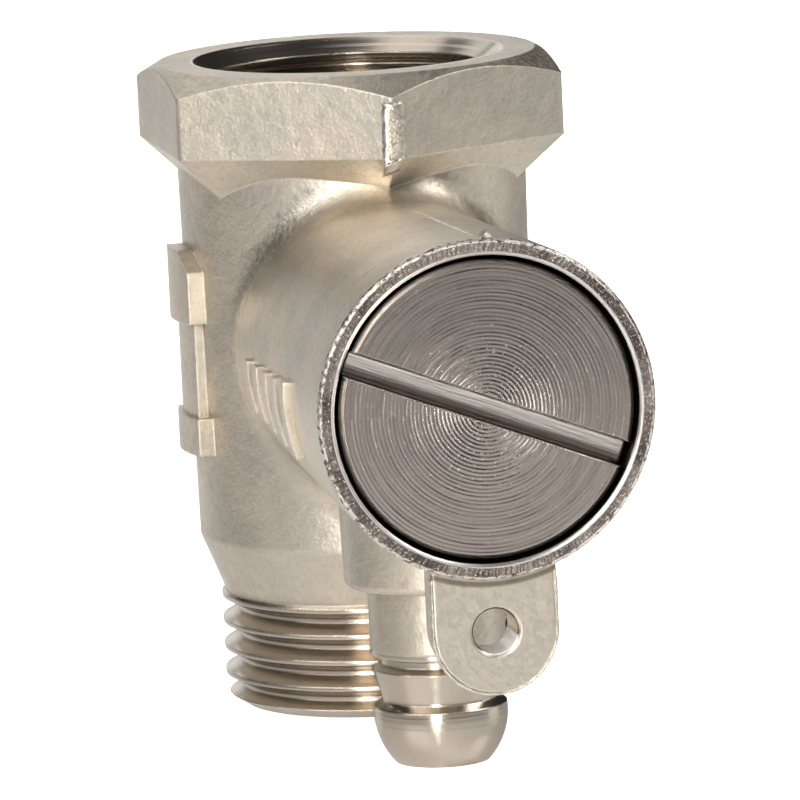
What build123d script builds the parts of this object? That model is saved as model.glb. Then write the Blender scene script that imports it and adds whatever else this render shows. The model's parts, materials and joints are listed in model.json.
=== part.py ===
from build123d import *
import math
import os

# Safety valve for a storage water heater: a spring-loaded relief valve and a
# non-return valve in one forged, nickel-plated brass body.
# Millimetres. +Z runs up the main waterway, from the threaded inlet spigot to the
# hexagonal outlet socket. The relief branch points along -Y and the drain barb
# points along -Z below it. The origin is the centre of the spigot's end face.

# ---- main forging ----
HEIGHT = 45.0
BARREL_FOOT_Z = 8.0
BARREL_FOOT_R = 10.2
BARREL_LOW_Z = 12.0
BARREL_LOW_R = 11.75
BARREL_TOP_R = 12.1
SHOULDER_ROUND = 0.8
HEX_FLATS = 27.0
HEX_LOW_Z = 39.4
HEX_SKIRT = 3.6
HEX_SKIRT_ANGLE = 45
HEX_CORNER_ROUND = 0.5
HEX_CROWN_R = 13.1
HEX_CROWN_ANGLE = 30
BRANCH_Z = 26.1
BRANCH_LENGTH = 42.0
BRANCH_ROOT_R = 9.75
BRANCH_RIM_R = 11.25
RIM_ROUND = 0.4
RIM_HOLLOW_R = 10.38
RIM_HOLLOW_WIDTH = 0.57
RIM_HOLLOW_DEPTH = 0.2
ROOT_FILLET = 2.8

# ---- pipe threads, G1/2 ----
PIPE_CREST_R = 20.955 / 2
PIPE_ROOT_R = 18.631 / 2
PIPE_PITCH = 1.814
SPIGOT_THREAD_LOW = 0.4
SOCKET_THREAD_LOW = 35.0
SOCKET_DEPTH = 12.0
SOCKET_RELIEF_R = 10.6
SOCKET_RELIEF_WIDTH = 1.4
CREST_FLAT = 0.08
GROOVE_HALF = 0.46

# ---- main waterway ----
INLET_R = 6.8
SEAT_POCKET_Z = 9.2
CHAMBER_FLOOR_Z = 10.7
CHAMBER_R = 8.1
GUIDE_SHELF_Z = 19.6
UPPER_CHAMBER_R = 8.7

# ---- check valve ----
CHECK_SEAT_Z = 11.5
CHECK_SEAT_BORE_R = 5.4
CHECK_SEAT_R = 6.9
SEAT_LIP = 0.8
CHECK_SEAL_R = 6.7
CHECK_SEAL_THICK = 1.6
CHECK_SEAL_GRIP = 1.0
CHECK_POPPET_R = 7.3
CHECK_POPPET_TOP_Z = 14.4
CHECK_EDGE = 0.4
CHECK_SCREW_R = 1.2
CHECK_SCREW_DEPTH = 4.0
CHECK_WASHER_R = 3.4
CHECK_STEM_R = 2.0
CHECK_STEM_TOP_Z = 23.0
GUIDE_THICK = 1.8
GUIDE_HUB_R = 3.3
GUIDE_BORE_R = 2.06
GUIDE_WALL = 1.3
GUIDE_ARM = 1.6
GUIDE_CLEARANCE = 0.03
CIRCLIP_THICK = 1.0
CIRCLIP_GROOVE_R = 9.1
CIRCLIP_WIDTH = 1.25
CIRCLIP_EYE_R = 1.15
CIRCLIP_EYE_HOLE_R = 0.55
CIRCLIP_EYE_ANGLE = 16
CIRCLIP_GAP = 2.0
CHECK_SPRING_R = 4.4
CHECK_WIRE = 0.6
CHECK_TURNS = 3.5

# ---- relief valve: distances are measured from the main axis along the branch ----
PORT_R = 3.2
RELIEF_POCKET = 12.4
RELIEF_FLOOR = 14.0
RELIEF_LIP = 15.0
RELIEF_SEAT_R = 5.0
SPRING_CHAMBER_R = 8.2
PLUG_BORE_START = 31.0
PLUG_BORE_R = 9.58
PLUG_BORE_GROOVE_R = 10.0
MOUTH_R = 10.13
MOUTH_DEPTH = 3.6
MOUTH_LEAD_WIDTH = 0.15
MOUTH_LEAD_DEPTH = 0.15
THREAD_RUN_OUT = 0.8
RELIEF_SEAL_R = 4.4
RELIEF_SEAL_THICK = 2.0
RELIEF_SEAL_GRIP = 1.3
RELIEF_SCREW_R = 1.25
RELIEF_SCREW_LENGTH = 5.5
RELIEF_WASHER_R = 2.6
SEAL_HOLE_R = 1.35
SEAL_WASHER_THICK = 0.5
HOLDER_R = 5.4
HOLDER_FLANGE_START = 18.6
HOLDER_FLANGE_R = 7.9
HOLDER_BACK = 20.2
HOLDER_STEM_R = 2.2
HOLDER_STEM_END = 27.0
HOLDER_STEM_EDGE = 0.5
SPRING_WASHER_R = 7.0
SPRING_WASHER_THICK = 0.5
SPRING_END = 33.0
RELIEF_SPRING_R = 5.5
RELIEF_WIRE = 1.6
RELIEF_TURNS = 4.5
OUTER_SEAT_THICK = 1.2
OUTER_SEAT_R = 8.0
OUTER_SEAT_BOSS = 1.6
OUTER_SEAT_EDGE = 0.5

# ---- adjusting plug ----
PLUG_FACE = 41.8
PLUG_BACK = 35.4
PLUG_HEAD_R = 9.8
PLUG_HEAD_THICK = 1.5
PLUG_CREST_R = 9.5
PLUG_GROOVE_R = 9.05
PLUG_PITCH = 1.0
PLUG_PIP_R = 3.0
PLUG_EDGE = 0.28
SLOT_WIDTH = 1.68
SLOT_DEPTH = 1.3
SLOT_FLOOR_ROUND = 0.3
SLOT_EDGE = 0.1
SLOT_ANGLE = -22.0

# ---- drain barb and its boss ----
DRAIN_Y = -22.2
DRAIN_BORE_R = 2.7
DRAIN_TIP_Z = -0.6
DRAIN_BOSS_R = 6.2
DRAIN_BOSS_Z = 11.6
DRAIN_NECK_R = 4.6
DRAIN_ROOT_R = 3.95
DRAIN_CREST_R = 4.5
DRAIN_TIP_R = 3.2
DRAIN_BULB_R = 4.2
DRAIN_BULB_Z = 1.0
DRAIN_BOSS_ROUND = 0.5
DRAIN_FILLET = 0.6

# ---- seal ear below the branch rim ----
EAR_FRONT = 41.3
EAR_THICK = 3.6
EAR_R = 4.25
EAR_DRAFT = 6
EAR_ROUND = 0.3
EAR_HOLE_Z = 11.4
EAR_HOLE_R = 1.5
EAR_HOLE_LEAD = 0.2

# ---- raised marks on the forging ----
MARK_DEPTH = 6.0
ARROW_HEAD_Z = 27.4
ARROW_SHOULDER_Z = 31.0
ARROW_TIP_Z = 32.4
ARROW_TAIL_Z = 18.2
ARROW_TAIL_HEIGHT = 2.6
ARROW_HEAD_HALF = 3.6
ARROW_TIP_HALF = 2.0
ARROW_SHAFT_HALF = 3.0
ARROW_TAIL_HALF = 3.7
ARROW_HEAD_RAISE = 1.0
ARROW_TAIL_RAISE = 0.8
ARROW_SHAFT_RAISE = 0.45
BAR_COUNT = 5
BAR_STEP = 3.9
BAR_START = 14.6
BAR_WIDTH = 1.5
BAR_HEIGHTS = (3.6, 3.9, 4.2, 4.6, 5.2)
BAR_Z = 24.6
BAR_RAISE = 0.55
NIB_ANGLE = -2.7
NIB_WIDTH = 1.3
NIB_RAISE = 0.45
NIB_LENGTH = 1.1


def turned(*points):
    """Solid of revolution about Z from its (radius, height) outline."""
    outline = Polyline(*[(r, 0, z) for r, z in points], close=True)
    return revolve(make_face(outline), Axis.Z)


def disc(radius, low, high):
    """Plain cylinder on the Z axis between two heights."""
    return Pos(0, 0, low) * extrude(Circle(radius), high - low)


def ring(outer, inner, low, high):
    """Plain ring on the Z axis between two heights."""
    return Pos(0, 0, low) * extrude(Circle(outer) - Circle(inner), high - low)


def on_branch(shape):
    """Lay a shape made along +Z on the branch axis, its +Z pointing out along -Y."""
    return Pos(0, 0, BRANCH_Z) * Rot(90, 0, 0) * shape


def thread_rings(crest_r, root_r, pitch, low, high):
    """The V grooves of a thread between two heights, one closed ring for each turn."""
    depth = root_r - crest_r
    overrun = crest_r - 0.1 * depth
    rings = None
    for index in range(round((high - low) / pitch)):
        middle = low + (index + 0.5) * pitch
        groove = turned(
            (overrun, middle - GROOVE_HALF * pitch), (root_r, middle - CREST_FLAT * pitch),
            (root_r, middle + CREST_FLAT * pitch), (overrun, middle + GROOVE_HALF * pitch),
        )
        rings = groove if rings is None else rings + groove
    return rings


def coil(mean_r, wire, low, high, turns):
    """Compression spring between two heights, its end turns ground flat."""
    ground = 0.2 * wire
    rise = high - low - 2 * ground
    path = Helix(rise / turns, rise, mean_r)
    section = Plane(origin=path @ 0, z_dir=path % 0) * Circle(wire / 2)
    body = Pos(0, 0, low + ground) * sweep(section, path=path, is_frenet=True)
    return body & disc(mean_r + 2 * wire, low, high)


def slotted_screw(shank_r, shank_length, head_r, head_height):
    """Cheese-head screw: shank along -Z below the head's underside at z = 0."""
    shape = disc(shank_r, -shank_length, 0) + disc(head_r, 0, head_height)
    slot = Pos(0, 0, head_height) * Box(3 * head_r, 0.6, head_height)
    return chamfer(shape.edges().filter_by(GeomType.CIRCLE).sort_by(Axis.Z)[-1], 0.2) - slot


def branch_radius(distance):
    """Outer radius of the drafted branch at a distance from the main axis."""
    return BRANCH_ROOT_R + (BRANCH_RIM_R - BRANCH_ROOT_R) * distance / BRANCH_LENGTH


# ---- the forging ----


def barrel():
    shape = turned(
        (0, BARREL_FOOT_Z), (BARREL_FOOT_R, BARREL_FOOT_Z), (BARREL_LOW_R, BARREL_LOW_Z),
        (BARREL_TOP_R, HEX_LOW_Z), (0, HEX_LOW_Z),
    )
    shoulder = shape.edges().filter_by(GeomType.CIRCLE).sort_by(Axis.Z)[1]
    return fillet(shoulder, SHOULDER_ROUND)


def hexagon():
    """Outlet hexagon with a crowned top and a sloping skirt below its flats."""
    outline = Rot(0, 0, 90) * RegularPolygon(HEX_FLATS / 2, 6, major_radius=False)
    prism = Pos(0, 0, HEX_LOW_Z) * extrude(outline, HEIGHT - HEX_LOW_Z)
    skirt = extrude(Pos(0, 0, HEX_LOW_Z) * outline, HEX_SKIRT, dir=(0, 0, -1), taper=HEX_SKIRT_ANGLE)
    corner_r = HEX_FLATS / math.sqrt(3) + 1
    drop = (corner_r - HEX_CROWN_R) * math.tan(math.radians(HEX_CROWN_ANGLE))
    crown = turned((0, 0), (corner_r, 0), (corner_r, HEIGHT - drop), (HEX_CROWN_R, HEIGHT), (0, HEIGHT))
    upright = prism.edges().filter_by(Axis.Z)
    return (fillet(upright, HEX_CORNER_ROUND) & crown) + skirt


def branch():
    """Drafted relief branch; its rim is rounded outside and hollowed by a worn facing tool."""
    shape = on_branch(
        turned((0, 0), (BRANCH_ROOT_R, 0), (BRANCH_RIM_R, BRANCH_LENGTH), (0, BRANCH_LENGTH))
    )
    rim = shape.edges().filter_by(GeomType.CIRCLE).sort_by(Axis.Y)[0]
    hollow = ring(
        RIM_HOLLOW_R + RIM_HOLLOW_WIDTH, RIM_HOLLOW_R, BRANCH_LENGTH - RIM_HOLLOW_DEPTH, BRANCH_LENGTH + 1
    )
    return fillet(rim, RIM_ROUND) - on_branch(hollow)


def drain_barb():
    """Boss, neck and two hose ridges below the branch, with the ridges' steep sides up."""
    bulb = ThreePointArc(
        (DRAIN_TIP_R, 0, DRAIN_TIP_Z), (DRAIN_BULB_R, 0, DRAIN_BULB_Z), (DRAIN_CREST_R, 0, 3.3)
    )
    profile = Polyline(
        (DRAIN_CREST_R, 0, 3.3), (DRAIN_ROOT_R, 0, 3.7), (DRAIN_ROOT_R, 0, 3.9), (DRAIN_CREST_R, 0, 5.9),
        (DRAIN_ROOT_R, 0, 6.25), (DRAIN_ROOT_R, 0, 6.7), (DRAIN_NECK_R, 0, 6.9), (DRAIN_NECK_R, 0, BRANCH_Z),
        (0, 0, BRANCH_Z), (0, 0, DRAIN_TIP_Z), (DRAIN_TIP_R, 0, DRAIN_TIP_Z),
    )
    stem = revolve(make_face(bulb + profile), Axis.Z)
    boss = turned(
        (0, DRAIN_BOSS_Z), (DRAIN_BOSS_R - 0.1, DRAIN_BOSS_Z), (DRAIN_BOSS_R + 0.3, BRANCH_Z), (0, BRANCH_Z)
    )
    step = boss.edges().filter_by(GeomType.CIRCLE).sort_by(Axis.Z)[0]
    return Pos(0, DRAIN_Y, 0) * (fillet(step, DRAIN_BOSS_ROUND) + stem)


def seal_ear():
    """Round-ended ear below the rim, drafted towards its back."""
    outline = Circle(EAR_R) + Pos(0, -EAR_R / 2 - 1) * Rectangle(2 * EAR_R, EAR_R + 2)
    plate = extrude(outline, EAR_THICK, taper=EAR_DRAFT)
    front_arc = plate.edges().filter_by(GeomType.CIRCLE).sort_by(Axis.Z)[0]
    return Pos(0, -EAR_FRONT, EAR_HOLE_Z) * Rot(-90, 0, 0) * fillet(front_arc, EAR_ROUND)


def raised_to(outline, plane, skin):
    """A mark standing on the forging: its outline pushed out from a plane as far as a skin."""
    return extrude(plane * outline, MARK_DEPTH) & skin


def flow_arrow():
    """Raised arrow on the -X side of the barrel, pointing up with the flow."""
    side = Plane(origin=(-9, 0, 0), x_dir=(0, -1, 0), z_dir=(-1, 0, 0))
    head = make_face(
        Polyline(
            (-ARROW_HEAD_HALF, ARROW_HEAD_Z), (ARROW_HEAD_HALF, ARROW_HEAD_Z),
            (ARROW_HEAD_HALF, ARROW_SHOULDER_Z), (ARROW_TIP_HALF, ARROW_TIP_Z),
            (-ARROW_TIP_HALF, ARROW_TIP_Z), (-ARROW_HEAD_HALF, ARROW_SHOULDER_Z), close=True,
        )
    )
    shaft_length = ARROW_HEAD_Z - ARROW_TAIL_Z
    shaft = Pos(0, ARROW_TAIL_Z + shaft_length / 2) * Rectangle(2 * ARROW_SHAFT_HALF, shaft_length)
    tail = Pos(0, ARROW_TAIL_Z + ARROW_TAIL_HEIGHT / 2) * Rectangle(2 * ARROW_TAIL_HALF, ARROW_TAIL_HEIGHT)
    marks = raised_to(head, side, disc(BARREL_TOP_R + ARROW_HEAD_RAISE, 0, HEIGHT))
    marks += raised_to(tail, side, disc(BARREL_TOP_R + ARROW_TAIL_RAISE, 0, HEIGHT))
    return marks + raised_to(shaft, side, disc(BARREL_TOP_R + ARROW_SHAFT_RAISE, 0, HEIGHT))


def branch_bars():
    """Row of raised bars on the -X side of the branch, growing taller towards the rim."""
    side = Plane(origin=(-7, 0, 0), x_dir=(0, -1, 0), z_dir=(-1, 0, 0))
    inner, outer = 1, BRANCH_LENGTH - 2
    skin = on_branch(
        turned(
            (0, inner), (branch_radius(inner) + BAR_RAISE, inner),
            (branch_radius(outer) + BAR_RAISE, outer), (0, outer),
        )
    )
    marks = None
    for index in range(BAR_COUNT):
        middle = BAR_START + index * BAR_STEP
        outline = Pos(middle, BAR_Z) * Rectangle(BAR_WIDTH, BAR_HEIGHTS[index])
        mark = raised_to(outline, side, skin)
        marks = mark if marks is None else marks + mark
    return marks


def parting_nib():
    """Small point of flash left on top of the rim, on the forging's parting line."""
    foot = BRANCH_RIM_R - RIM_ROUND
    nib = make_face(
        Polyline((-NIB_WIDTH / 2, foot), (NIB_WIDTH / 2, foot), (0, BRANCH_RIM_R + NIB_RAISE), close=True)
    )
    start = BRANCH_LENGTH - RIM_ROUND - NIB_LENGTH
    return on_branch(Pos(0, 0, start) * Rot(0, 0, NIB_ANGLE) * extrude(nib, NIB_LENGTH))


def waterway():
    """Everything bored along the main axis, from the inlet to the socket."""
    socket_floor = HEIGHT - SOCKET_DEPTH
    lead = SOCKET_RELIEF_R - PIPE_ROOT_R
    bore = turned(
        (0, -1), (INLET_R, -1), (INLET_R, SEAT_POCKET_Z), (CHECK_SEAT_R, SEAT_POCKET_Z),
        (CHECK_SEAT_R, CHAMBER_FLOOR_Z), (CHAMBER_R, CHAMBER_FLOOR_Z), (CHAMBER_R, GUIDE_SHELF_Z),
        (UPPER_CHAMBER_R, GUIDE_SHELF_Z), (UPPER_CHAMBER_R, socket_floor),
        (SOCKET_RELIEF_R, socket_floor), (SOCKET_RELIEF_R, socket_floor + SOCKET_RELIEF_WIDTH),
        (PIPE_ROOT_R, socket_floor + SOCKET_RELIEF_WIDTH + lead * 0.6), (PIPE_ROOT_R, HEIGHT - lead * 0.8),
        (SOCKET_RELIEF_R + 0.1, HEIGHT), (SOCKET_RELIEF_R + 0.1, HEIGHT + 1), (0, HEIGHT + 1),
    )
    groove_z = GUIDE_SHELF_Z + GUIDE_THICK
    return bore + disc(CIRCLIP_GROOVE_R, groove_z, groove_z + CIRCLIP_THICK)


def relief_bores():
    """Everything bored along the branch, from the port to the mouth, and the drain bore."""
    thread_end = BRANCH_LENGTH - MOUTH_DEPTH - THREAD_RUN_OUT
    thread_start = PLUG_BORE_START + THREAD_RUN_OUT
    bore = turned(
        (0, 4), (PORT_R, 4), (PORT_R, RELIEF_POCKET), (RELIEF_SEAT_R, RELIEF_POCKET),
        (RELIEF_SEAT_R, RELIEF_FLOOR), (SPRING_CHAMBER_R, RELIEF_FLOOR), (SPRING_CHAMBER_R, PLUG_BORE_START),
        (PLUG_BORE_R, thread_start), (PLUG_BORE_R, thread_end + 0.3),
        (MOUTH_R, BRANCH_LENGTH - MOUTH_DEPTH), (MOUTH_R, BRANCH_LENGTH - MOUTH_LEAD_DEPTH),
        (MOUTH_R + MOUTH_LEAD_WIDTH, BRANCH_LENGTH), (MOUTH_R + MOUTH_LEAD_WIDTH, BRANCH_LENGTH + 1),
        (0, BRANCH_LENGTH + 1),
    )
    bore += thread_rings(PLUG_BORE_R, PLUG_BORE_GROOVE_R, PLUG_PITCH, thread_start + 0.2, thread_end)
    drain = Pos(0, DRAIN_Y, 0) * disc(DRAIN_BORE_R, DRAIN_TIP_Z - 1, BRANCH_Z - PORT_R)
    return on_branch(bore) + drain


def ear_hole():
    """Seal-wire hole through the ear, with a small lead at each face."""
    lead_r = EAR_HOLE_R + EAR_HOLE_LEAD
    hole = turned(
        (0, 0), (lead_r, 0), (EAR_HOLE_R, EAR_HOLE_LEAD), (EAR_HOLE_R, EAR_THICK - EAR_HOLE_LEAD),
        (lead_r, EAR_THICK), (0, EAR_THICK),
    )
    return Pos(0, EAR_THICK - EAR_FRONT, EAR_HOLE_Z) * Rot(90, 0, 0) * hole


def valve_body():
    """The forging with everything that is bored and cut in it."""
    trunk = barrel()
    arm = branch()
    forging = trunk + arm
    forging = fillet(new_edges(trunk, arm, combined=forging), ROOT_FILLET)
    barb = drain_barb()
    joined = forging + barb
    forging = fillet(new_edges(forging, barb, combined=joined), DRAIN_FILLET)
    forging += hexagon()
    forging += seal_ear()
    forging += flow_arrow()
    forging += branch_bars()
    forging += parting_nib()
    lead = PIPE_CREST_R - PIPE_ROOT_R
    forging += turned(
        (0, 0), (PIPE_ROOT_R - 0.1, 0), (PIPE_CREST_R, lead * 0.7), (PIPE_CREST_R, BARREL_FOOT_Z - 0.2),
        (BARREL_FOOT_R, BARREL_FOOT_Z), (0, BARREL_FOOT_Z),
    )
    forging -= waterway()
    forging -= relief_bores()
    forging -= ear_hole()
    forging -= thread_rings(PIPE_CREST_R, PIPE_ROOT_R, PIPE_PITCH, SPIGOT_THREAD_LOW, BARREL_FOOT_Z)
    forging -= thread_rings(PIPE_ROOT_R, PIPE_CREST_R, PIPE_PITCH, SOCKET_THREAD_LOW, HEIGHT)
    return forging


# ---- check valve, all on the main axis ----


def check_seat():
    """Seat ring pressed into the body, with a raised lip for the seal."""
    return turned(
        (CHECK_SEAT_BORE_R, SEAT_POCKET_Z), (CHECK_SEAT_R, SEAT_POCKET_Z), (CHECK_SEAT_R, CHAMBER_FLOOR_Z),
        (CHECK_SEAT_BORE_R + SEAT_LIP, CHECK_SEAT_Z), (CHECK_SEAT_BORE_R, CHECK_SEAT_Z),
    )


def check_seal():
    return ring(CHECK_SEAL_R, SEAL_HOLE_R, CHECK_SEAT_Z, CHECK_SEAT_Z + CHECK_SEAL_THICK)


def check_poppet():
    """Cup that holds the seal, with a stem that slides in the guide."""
    pocket_top = CHECK_SEAT_Z + CHECK_SEAL_THICK
    tapped_to = CHECK_POPPET_TOP_Z + CHECK_SCREW_DEPTH
    return turned(
        (CHECK_SCREW_R, pocket_top), (CHECK_SEAL_R, pocket_top), (CHECK_SEAL_R, pocket_top - CHECK_SEAL_GRIP),
        (CHECK_POPPET_R, pocket_top - CHECK_SEAL_GRIP), (CHECK_POPPET_R, CHECK_POPPET_TOP_Z - CHECK_EDGE),
        (CHECK_POPPET_R - CHECK_EDGE, CHECK_POPPET_TOP_Z), (CHECK_STEM_R, CHECK_POPPET_TOP_Z),
        (CHECK_STEM_R, CHECK_STEM_TOP_Z - CHECK_EDGE), (CHECK_STEM_R - CHECK_EDGE, CHECK_STEM_TOP_Z),
        (0, CHECK_STEM_TOP_Z), (0, tapped_to), (CHECK_SCREW_R, tapped_to),
    )


def check_seal_washer():
    return ring(CHECK_WASHER_R, SEAL_HOLE_R, CHECK_SEAT_Z - SEAL_WASHER_THICK, CHECK_SEAT_Z)


def check_seal_screw():
    """Screw that clamps the seal and its washer to the poppet from below."""
    under_head = CHECK_SEAT_Z - SEAL_WASHER_THICK
    length = CHECK_POPPET_TOP_Z + CHECK_SCREW_DEPTH - 0.5 - under_head
    screw = slotted_screw(CHECK_SCREW_R, length, 2 * CHECK_SCREW_R, 1.5)
    return Pos(0, 0, under_head) * Rot(180, 0, 0) * screw


def check_spring():
    return coil(CHECK_SPRING_R, CHECK_WIRE, CHECK_POPPET_TOP_Z, GUIDE_SHELF_Z, CHECK_TURNS)


def check_guide():
    """Three-armed spider that guides the poppet's stem."""
    arm_length = UPPER_CHAMBER_R - GUIDE_HUB_R
    arm_middle = (GUIDE_HUB_R + UPPER_CHAMBER_R - 0.5) / 2
    outline = Circle(UPPER_CHAMBER_R - GUIDE_CLEARANCE) - Circle(UPPER_CHAMBER_R - GUIDE_WALL)
    outline += Circle(GUIDE_HUB_R)
    for turn in (30, 150, 270):
        outline += Rot(0, 0, turn) * Pos(arm_middle, 0) * Rectangle(arm_length, GUIDE_ARM)
    outline -= Circle(GUIDE_BORE_R)
    return Pos(0, 0, GUIDE_SHELF_Z) * extrude(outline, GUIDE_THICK)


def check_circlip():
    """Internal retaining ring above the guide, with two eyes for circlip pliers."""
    outer_r = CIRCLIP_GROOVE_R - 0.05
    outline = Circle(outer_r) - Circle(outer_r - CIRCLIP_WIDTH)
    eyes = [Rot(0, 0, 90 + side * CIRCLIP_EYE_ANGLE) * Pos(outer_r - 2.35, 0) for side in (-1, 1)]
    for eye in eyes:
        outline += eye * Circle(CIRCLIP_EYE_R)
    outline -= Pos(0, outer_r) * Rectangle(CIRCLIP_GAP, 5)
    for eye in eyes:
        outline -= eye * Circle(CIRCLIP_EYE_HOLE_R)
    return Pos(0, 0, GUIDE_SHELF_Z + GUIDE_THICK) * extrude(outline, CIRCLIP_THICK)


# ---- relief valve, all on the branch axis ----


def relief_seat():
    """Seat ring pressed into the body around the relief port, with a raised lip."""
    return on_branch(
        turned(
            (PORT_R, RELIEF_POCKET), (RELIEF_SEAT_R, RELIEF_POCKET), (RELIEF_SEAT_R, RELIEF_FLOOR),
            (PORT_R + SEAT_LIP, RELIEF_LIP), (PORT_R, RELIEF_LIP),
        )
    )


def relief_seal():
    return on_branch(ring(RELIEF_SEAL_R, SEAL_HOLE_R, RELIEF_LIP, RELIEF_LIP + RELIEF_SEAL_THICK))


def relief_seal_washer():
    return on_branch(ring(RELIEF_WASHER_R, SEAL_HOLE_R, RELIEF_LIP - SEAL_WASHER_THICK, RELIEF_LIP))


def relief_seal_screw():
    """Screw that clamps the seal and its washer to the disc holder."""
    screw = slotted_screw(RELIEF_SCREW_R, RELIEF_SCREW_LENGTH, 2.3, 1.4)
    return on_branch(Pos(0, 0, RELIEF_LIP - SEAL_WASHER_THICK) * Rot(180, 0, 0) * screw)


def relief_disc_holder():
    """Cup for the seal, a six-sided guide flange and a stem that centres the spring."""
    seal_back = RELIEF_LIP + RELIEF_SEAL_THICK
    shape = turned(
        (RELIEF_SCREW_R, seal_back), (RELIEF_SEAL_R, seal_back),
        (RELIEF_SEAL_R, seal_back - RELIEF_SEAL_GRIP), (HOLDER_R, seal_back - RELIEF_SEAL_GRIP),
        (HOLDER_R, HOLDER_BACK), (HOLDER_STEM_R, HOLDER_BACK),
        (HOLDER_STEM_R, HOLDER_STEM_END - HOLDER_STEM_EDGE),
        (HOLDER_STEM_R - HOLDER_STEM_EDGE, HOLDER_STEM_END), (0, HOLDER_STEM_END),
        (0, HOLDER_BACK + 0.3), (RELIEF_SCREW_R, HOLDER_BACK + 0.3),
    )
    flange = RegularPolygon(HOLDER_FLANGE_R + 0.3, 6) & Circle(HOLDER_FLANGE_R)
    flange -= Circle(HOLDER_R - 0.5)
    shape += Pos(0, 0, HOLDER_FLANGE_START) * extrude(flange, HOLDER_BACK - HOLDER_FLANGE_START)
    return on_branch(shape)


def relief_spring_washer():
    """Hard washer between the spring and the disc holder's flange."""
    washer = ring(SPRING_WASHER_R, HOLDER_STEM_R + 0.1, HOLDER_BACK, HOLDER_BACK + SPRING_WASHER_THICK)
    return on_branch(washer)


def relief_spring():
    foot = HOLDER_BACK + SPRING_WASHER_THICK
    return on_branch(coil(RELIEF_SPRING_R, RELIEF_WIRE, foot, SPRING_END, RELIEF_TURNS))


def spring_seat():
    """Outer spring seat: a disc with a boss that centres the spring on the plug's side."""
    boss_r = RELIEF_SPRING_R - RELIEF_WIRE / 2 - 0.15
    boss_end = SPRING_END - OUTER_SEAT_BOSS
    return on_branch(
        turned(
            (0, boss_end), (boss_r - OUTER_SEAT_EDGE, boss_end), (boss_r, boss_end + OUTER_SEAT_EDGE),
            (boss_r, SPRING_END), (OUTER_SEAT_R, SPRING_END), (OUTER_SEAT_R, SPRING_END + OUTER_SEAT_THICK),
            (0, SPRING_END + OUTER_SEAT_THICK),
        )
    )


def driver_slot():
    """Milled slot right across the plug's face, its floor's corners round and its edges broken."""
    half, wide = SLOT_WIDTH / 2, SLOT_WIDTH / 2 + SLOT_EDGE
    section = Polyline(
        (-half, -SLOT_DEPTH), (half, -SLOT_DEPTH), (half, -SLOT_EDGE), (wide, 0), (wide, 1),
        (-wide, 1), (-wide, 0), (-half, -SLOT_EDGE), close=True,
    )
    length = 3 * PLUG_HEAD_R
    across = Plane(origin=(-length / 2, 0, 0), x_dir=(0, 1, 0), z_dir=(1, 0, 0))
    groove = extrude(across * make_face(section), length)
    corners = groove.edges().filter_by(Axis.X).group_by(Axis.Z)[0]
    return Pos(0, 0, PLUG_FACE) * Rot(0, 0, SLOT_ANGLE) * fillet(corners, SLOT_FLOOR_ROUND)


def adjusting_plug():
    """Threaded plug that sets the spring, with a screwdriver slot across its face."""
    head_back = PLUG_FACE - PLUG_HEAD_THICK
    pip_end = SPRING_END + OUTER_SEAT_THICK
    shape = turned(
        (0, pip_end), (PLUG_PIP_R, pip_end), (PLUG_PIP_R, PLUG_BACK), (PLUG_GROOVE_R, PLUG_BACK),
        (PLUG_CREST_R, PLUG_BACK + 0.4), (PLUG_CREST_R, head_back), (PLUG_HEAD_R, head_back),
        (PLUG_HEAD_R, PLUG_FACE - PLUG_EDGE), (PLUG_HEAD_R - PLUG_EDGE, PLUG_FACE), (0, PLUG_FACE),
    )
    shape -= thread_rings(PLUG_CREST_R, PLUG_GROOVE_R, PLUG_PITCH, PLUG_BACK + 0.5, head_back - 0.4)
    return on_branch(shape - driver_slot())


PARTS = {
    "valve_body": valve_body,
    "check_seat": check_seat,
    "check_seal": check_seal,
    "check_poppet": check_poppet,
    "check_seal_washer": check_seal_washer,
    "check_seal_screw": check_seal_screw,
    "check_spring": check_spring,
    "check_guide": check_guide,
    "check_circlip": check_circlip,
    "relief_seat": relief_seat,
    "relief_seal": relief_seal,
    "relief_seal_washer": relief_seal_washer,
    "relief_seal_screw": relief_seal_screw,
    "relief_disc_holder": relief_disc_holder,
    "relief_spring_washer": relief_spring_washer,
    "relief_spring": relief_spring,
    "spring_seat": spring_seat,
    "adjusting_plug": adjusting_plug,
}

os.makedirs("parts", exist_ok=True)
for node, make in PARTS.items():
    export_step(make(), f"parts/{node}.step")
    print("wrote", node)
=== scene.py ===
import json
import math
import random

import bpy
from mathutils import Matrix, Vector
from mathutils.bvhtree import BVHTree


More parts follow.
